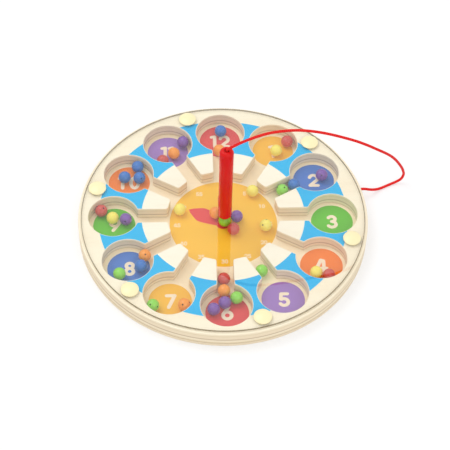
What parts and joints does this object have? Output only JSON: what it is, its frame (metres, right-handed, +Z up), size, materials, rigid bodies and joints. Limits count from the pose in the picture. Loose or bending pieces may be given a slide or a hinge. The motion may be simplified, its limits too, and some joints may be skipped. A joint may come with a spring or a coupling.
{
  "type": "magnetic learning clock",
  "caption": "Round wooden maze tray shaped as a clock face, with captive coloured beads under a clear cover and a tethered magnetic pen that draws them into hour pockets.",
  "frame": {"origin": "centre of the tray's underside, on the surface that it stands on", "axes": "+Z up out of the clock face, +Y towards twelve o'clock, +X towards three o'clock"},
  "size_m": [0.3226, 0.2798, 0.1401],
  "materials": {
    "plywood": "smooth sanded, satin",
    "clear_plastic": "clear and glossy",
    "button_plastic": "satin",
    "pen_plastic": "high gloss",
    "magnet_steel": "nickel plated",
    "cord_weave": "braided cord",
    "anchor_plastic": "glossy",
    "bead_red": "matte",
    "bead_orange": "matte",
    "bead_yellow": "matte",
    "bead_green": "matte",
    "bead_blue": "matte",
    "bead_purple": "matte"
  },
  "bodies": {
    "board": {"base_board": "plywood", "maze_board": "plywood", "clear_cover": "clear_plastic", "cover_button_1": "button_plastic", "cover_button_2": "button_plastic", "cover_button_3": "button_plastic", "cover_button_4": "button_plastic", "cover_button_5": "button_plastic", "cover_button_6": "button_plastic", "cord_anchor_plug": "anchor_plastic", "tether_cord": "cord_weave"},
    "pen": {"pen_barrel": "pen_plastic", "pen_foot_plug": "pen_plastic", "pen_magnet": "magnet_steel", "cord_knot": "cord_weave"},
    "bead_red_1": {"bead_red_1": "bead_red"},
    "bead_red_2": {"bead_red_2": "bead_red"},
    "bead_red_3": {"bead_red_3": "bead_red"},
    "bead_red_4": {"bead_red_4": "bead_red"},
    "bead_red_5": {"bead_red_5": "bead_red"},
    "bead_red_6": {"bead_red_6": "bead_red"},
    "bead_orange_1": {"bead_orange_1": "bead_orange"},
    "bead_orange_2": {"bead_orange_2": "bead_orange"},
    "bead_orange_3": {"bead_orange_3": "bead_orange"},
    "bead_orange_4": {"bead_orange_4": "bead_orange"},
    "bead_orange_5": {"bead_orange_5": "bead_orange"},
    "bead_orange_6": {"bead_orange_6": "bead_orange"},
    "bead_yellow_1": {"bead_yellow_1": "bead_yellow"},
    "bead_yellow_2": {"bead_yellow_2": "bead_yellow"},
    "bead_yellow_3": {"bead_yellow_3": "bead_yellow"},
    "bead_yellow_4": {"bead_yellow_4": "bead_yellow"},
    "bead_yellow_5": {"bead_yellow_5": "bead_yellow"},
    "bead_yellow_6": {"bead_yellow_6": "bead_yellow"},
    "bead_green_1": {"bead_green_1": "bead_green"},
    "bead_green_2": {"bead_green_2": "bead_green"},
    "bead_green_3": {"bead_green_3": "bead_green"},
    "bead_green_4": {"bead_green_4": "bead_green"},
    "bead_green_5": {"bead_green_5": "bead_green"},
    "bead_green_6": {"bead_green_6": "bead_green"},
    "bead_blue_1": {"bead_blue_1": "bead_blue"},
    "bead_blue_2": {"bead_blue_2": "bead_blue"},
    "bead_blue_3": {"bead_blue_3": "bead_blue"},
    "bead_blue_4": {"bead_blue_4": "bead_blue"},
    "bead_blue_5": {"bead_blue_5": "bead_blue"},
    "bead_blue_6": {"bead_blue_6": "bead_blue"},
    "bead_purple_1": {"bead_purple_1": "bead_purple"},
    "bead_purple_2": {"bead_purple_2": "bead_purple"},
    "bead_purple_3": {"bead_purple_3": "bead_purple"},
    "bead_purple_4": {"bead_purple_4": "bead_purple"},
    "bead_purple_5": {"bead_purple_5": "bead_purple"},
    "bead_purple_6": {"bead_purple_6": "bead_purple"}
  },
  "joints": [
    {"name": "pen_glide", "type": "slide", "parent": "board", "child": "pen", "axis": [-0.5164, -0.8564, 0], "range_m": [0, 0.104], "deforming": ["tether_cord"]},
    {"name": "bead_green_6_roll", "type": "slide", "parent": "board", "child": "bead_green_6", "axis": [-0.5164, -0.8564, 0], "range_m": [0, 0.104]},
    {"name": "bead_red_1_roll", "type": "slide", "parent": "board", "child": "bead_red_1", "axis": [-0.9962, 0.0872, 0], "range_m": [0, 0.029]},
    {"name": "bead_red_2_roll", "type": "slide", "parent": "board", "child": "bead_red_2", "axis": [0.342, 0.9397, 0], "range_m": [0, 0.026]},
    {"name": "bead_red_3_roll", "type": "slide", "parent": "board", "child": "bead_red_3", "axis": [0.0872, 0.9962, 0], "range_m": [0, 0.026]},
    {"name": "bead_red_4_roll", "type": "slide", "parent": "board", "child": "bead_red_4", "axis": [0.1736, 0.9848, 0], "range_m": [-0.021, 0]},
    {"name": "bead_red_5_roll", "type": "slide", "parent": "board", "child": "bead_red_5", "axis": [-0.342, 0.9397, 0], "range_m": [0, 0.0275]},
    {"name": "bead_red_6_roll", "type": "slide", "parent": "board", "child": "bead_red_6", "axis": [0.5, 0.866, 0], "range_m": [-0.025, 0.0035]},
    {"name": "bead_orange_1_roll", "type": "slide", "parent": "board", "child": "bead_orange_1", "axis": [0, 1, 0], "range_m": [-0.041, 0.004]},
    {"name": "bead_orange_2_roll", "type": "slide", "parent": "board", "child": "bead_orange_2", "axis": [0.9397, 0.342, 0], "range_m": [-0.0005, 0.0035]},
    {"name": "bead_orange_3_roll", "type": "slide", "parent": "board", "child": "bead_orange_3", "axis": [0.9063, 0.4226, 0], "range_m": [-0.0205, 0.002]},
    {"name": "bead_orange_4_roll", "type": "slide", "parent": "board", "child": "bead_orange_4", "axis": [0.866, 0.5, 0], "range_m": [0, 0.0555]},
    {"name": "bead_orange_5_roll", "type": "slide", "parent": "board", "child": "bead_orange_5", "axis": [-0.4226, 0.9063, 0], "range_m": [-0.0425, 0.008]},
    {"name": "bead_orange_6_roll", "type": "slide", "parent": "board", "child": "bead_orange_6", "axis": [0.9063, 0.4226, 0], "range_m": [-0.0435, 0.028]},
    {"name": "bead_yellow_1_roll", "type": "slide", "parent": "board", "child": "bead_yellow_1", "axis": [0.6428, 0.766, 0], "range_m": [-0.0375, 0]},
    {"name": "bead_yellow_2_roll", "type": "slide", "parent": "board", "child": "bead_yellow_2", "axis": [0.342, 0.9397, 0], "range_m": [-0.0045, 0.031]},
    {"name": "bead_yellow_3_roll", "type": "slide", "parent": "board", "child": "bead_yellow_3", "axis": [0.1736, 0.9848, 0], "range_m": [-0.021, 0.0145]},
    {"name": "bead_yellow_4_roll", "type": "slide", "parent": "board", "child": "bead_yellow_4", "axis": [0.9659, 0.2588, 0], "range_m": [-0.0045, 0.037]},
    {"name": "bead_yellow_5_roll", "type": "slide", "parent": "board", "child": "bead_yellow_5", "axis": [1, 0, 0], "range_m": [-0.0545, 0.002]},
    {"name": "bead_yellow_6_roll", "type": "slide", "parent": "board", "child": "bead_yellow_6", "axis": [0.5736, 0.8192, 0], "range_m": [-0.0455, 0.005]},
    {"name": "bead_green_1_roll", "type": "slide", "parent": "board", "child": "bead_green_1", "axis": [0.866, 0.5, 0], "range_m": [-0.0335, 0]},
    {"name": "bead_green_2_roll", "type": "slide", "parent": "board", "child": "bead_green_2", "axis": [-0.5, 0.866, 0], "range_m": [-0.052, 0.0145]},
    {"name": "bead_green_3_roll", "type": "slide", "parent": "board", "child": "bead_green_3", "axis": [0.2588, 0.9659, 0], "range_m": [0, 0.025]},
    {"name": "bead_green_4_roll", "type": "slide", "parent": "board", "child": "bead_green_4", "axis": [0.4226, 0.9063, 0], "range_m": [-0.0045, 0.0305]},
    {"name": "bead_green_5_roll", "type": "slide", "parent": "board", "child": "bead_green_5", "axis": [-0.342, 0.9397, 0], "range_m": [-0.02, 0]},
    {"name": "bead_blue_1_roll", "type": "slide", "parent": "board", "child": "bead_blue_1", "axis": [0.6428, 0.766, 0], "range_m": [-0.024, 0.01]},
    {"name": "bead_blue_2_roll", "type": "slide", "parent": "board", "child": "bead_blue_2", "axis": [1, 0, 0], "range_m": [0, 0.035]},
    {"name": "bead_blue_3_roll", "type": "slide", "parent": "board", "child": "bead_blue_3", "axis": [0.5, 0.866, 0], "range_m": [-0.018, 0]},
    {"name": "bead_blue_4_roll", "type": "slide", "parent": "board", "child": "bead_blue_4", "axis": [1, 0, 0], "range_m": [-0.0185, 0]},
    {"name": "bead_blue_5_roll", "type": "slide", "parent": "board", "child": "bead_blue_5", "axis": [0.7071, 0.7071, 0], "range_m": [-0.0155, 0]},
    {"name": "bead_blue_6_roll", "type": "slide", "parent": "board", "child": "bead_blue_6", "axis": [0.5736, 0.8192, 0], "range_m": [-0.022, 0.0025]},
    {"name": "bead_purple_1_roll", "type": "slide", "parent": "board", "child": "bead_purple_1", "axis": [1, 0, 0], "range_m": [-0.0255, 0.0095]},
    {"name": "bead_purple_2_roll", "type": "slide", "parent": "board", "child": "bead_purple_2", "axis": [-0.342, 0.9397, 0], "range_m": [-0.025, 0]},
    {"name": "bead_purple_3_roll", "type": "slide", "parent": "board", "child": "bead_purple_3", "axis": [-0.342, 0.9397, 0], "range_m": [-0.018, 0.0095]},
    {"name": "bead_purple_4_roll", "type": "slide", "parent": "board", "child": "bead_purple_4", "axis": [1, 0, 0], "range_m": [0, 0.041]},
    {"name": "bead_purple_5_roll", "type": "slide", "parent": "board", "child": "bead_purple_5", "axis": [-0.9063, 0.4226, 0], "range_m": [0, 0.021]},
    {"name": "bead_purple_6_roll", "type": "slide", "parent": "board", "child": "bead_purple_6", "axis": [0.9848, 0.1736, 0], "range_m": [0, 0.034]}
  ],
  "couplings": [
    {"joint": "bead_green_6_roll", "follows": "pen_glide", "ratio": 1}
  ]
}
